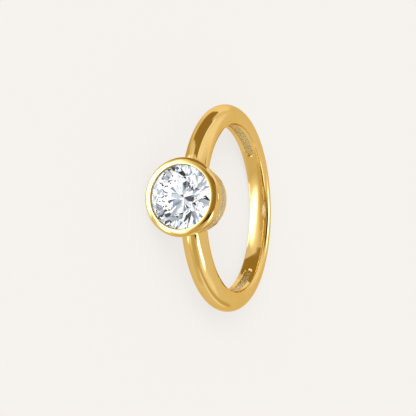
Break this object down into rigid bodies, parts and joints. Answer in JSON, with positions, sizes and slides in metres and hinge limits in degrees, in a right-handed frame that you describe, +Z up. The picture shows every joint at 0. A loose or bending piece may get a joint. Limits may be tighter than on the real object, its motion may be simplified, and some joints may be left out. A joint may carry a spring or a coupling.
{
  "type": "solitaire ring",
  "caption": "Ring with a smooth domed band and a closed round bezel cup that holds a brilliant-cut clear stone, lying on its side.",
  "frame": {"origin": "on the surface that the ring lies on, under the middle of its bounding box", "axes": "+Z up, away from the surface; the bezel faces -Y and about 6 degrees upwards; +X to the right as seen from the bezel's side; the finger hole's axis leans 6 degrees from +Z towards +Y"},
  "size_m": [0.0216, 0.0238, 0.0072],
  "materials": {
    "polished_gold": "polished yellow gold, with a brushed collar and stippled sunk panels",
    "clear_stone": "clear, colourless, faceted and polished"
  },
  "bodies": {
    "root": {"band_and_setting": "polished_gold", "stone": "clear_stone"}
  },
  "joints": []
}
